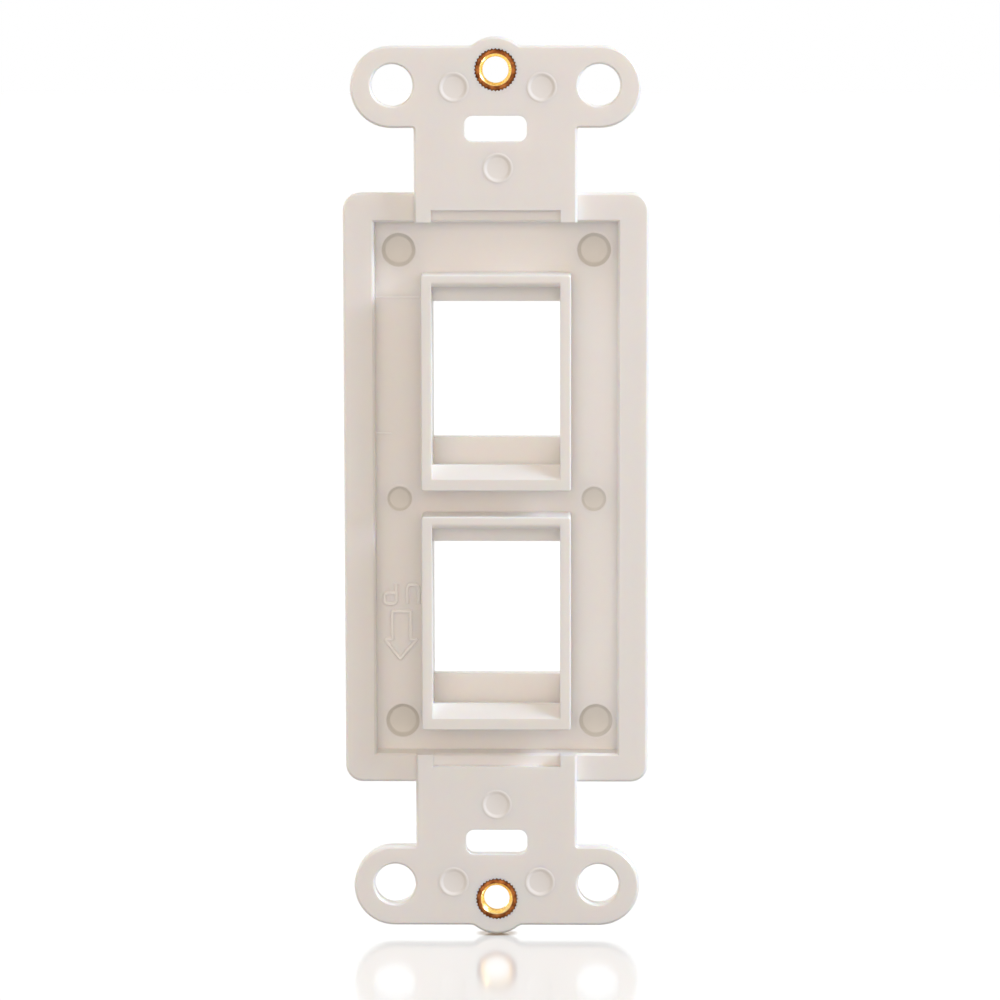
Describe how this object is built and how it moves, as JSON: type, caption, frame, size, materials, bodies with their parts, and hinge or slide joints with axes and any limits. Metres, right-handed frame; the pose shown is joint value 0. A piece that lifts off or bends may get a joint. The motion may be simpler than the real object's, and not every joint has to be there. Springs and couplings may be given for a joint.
{
  "type": "keystone faceplate insert",
  "caption": "Moulded decorator-style faceplate insert with snap-in keystone ports, slotted fixing ears and threaded brass bushes for the wall plate.",
  "frame": {"origin": "midway between the two box screw slots, on the plane where the ears lie on the wall", "axes": "+Z along the height, up in the picture; +Y out of the rear, towards the wall; -Y towards the room; +X to the left of a viewer who looks at the rear. The moulded arrow points along -Z, so -Z is up when the part is mounted."},
  "size_m": [0.0354, 0.0086, 0.1048],
  "materials": {
    "white_plastic": "glossy",
    "brass": "satin"
  },
  "bodies": {
    "root": {"faceplate_moulding": "white_plastic", "threaded_insert_upper": "brass", "threaded_insert_lower": "brass"}
  },
  "joints": []
}
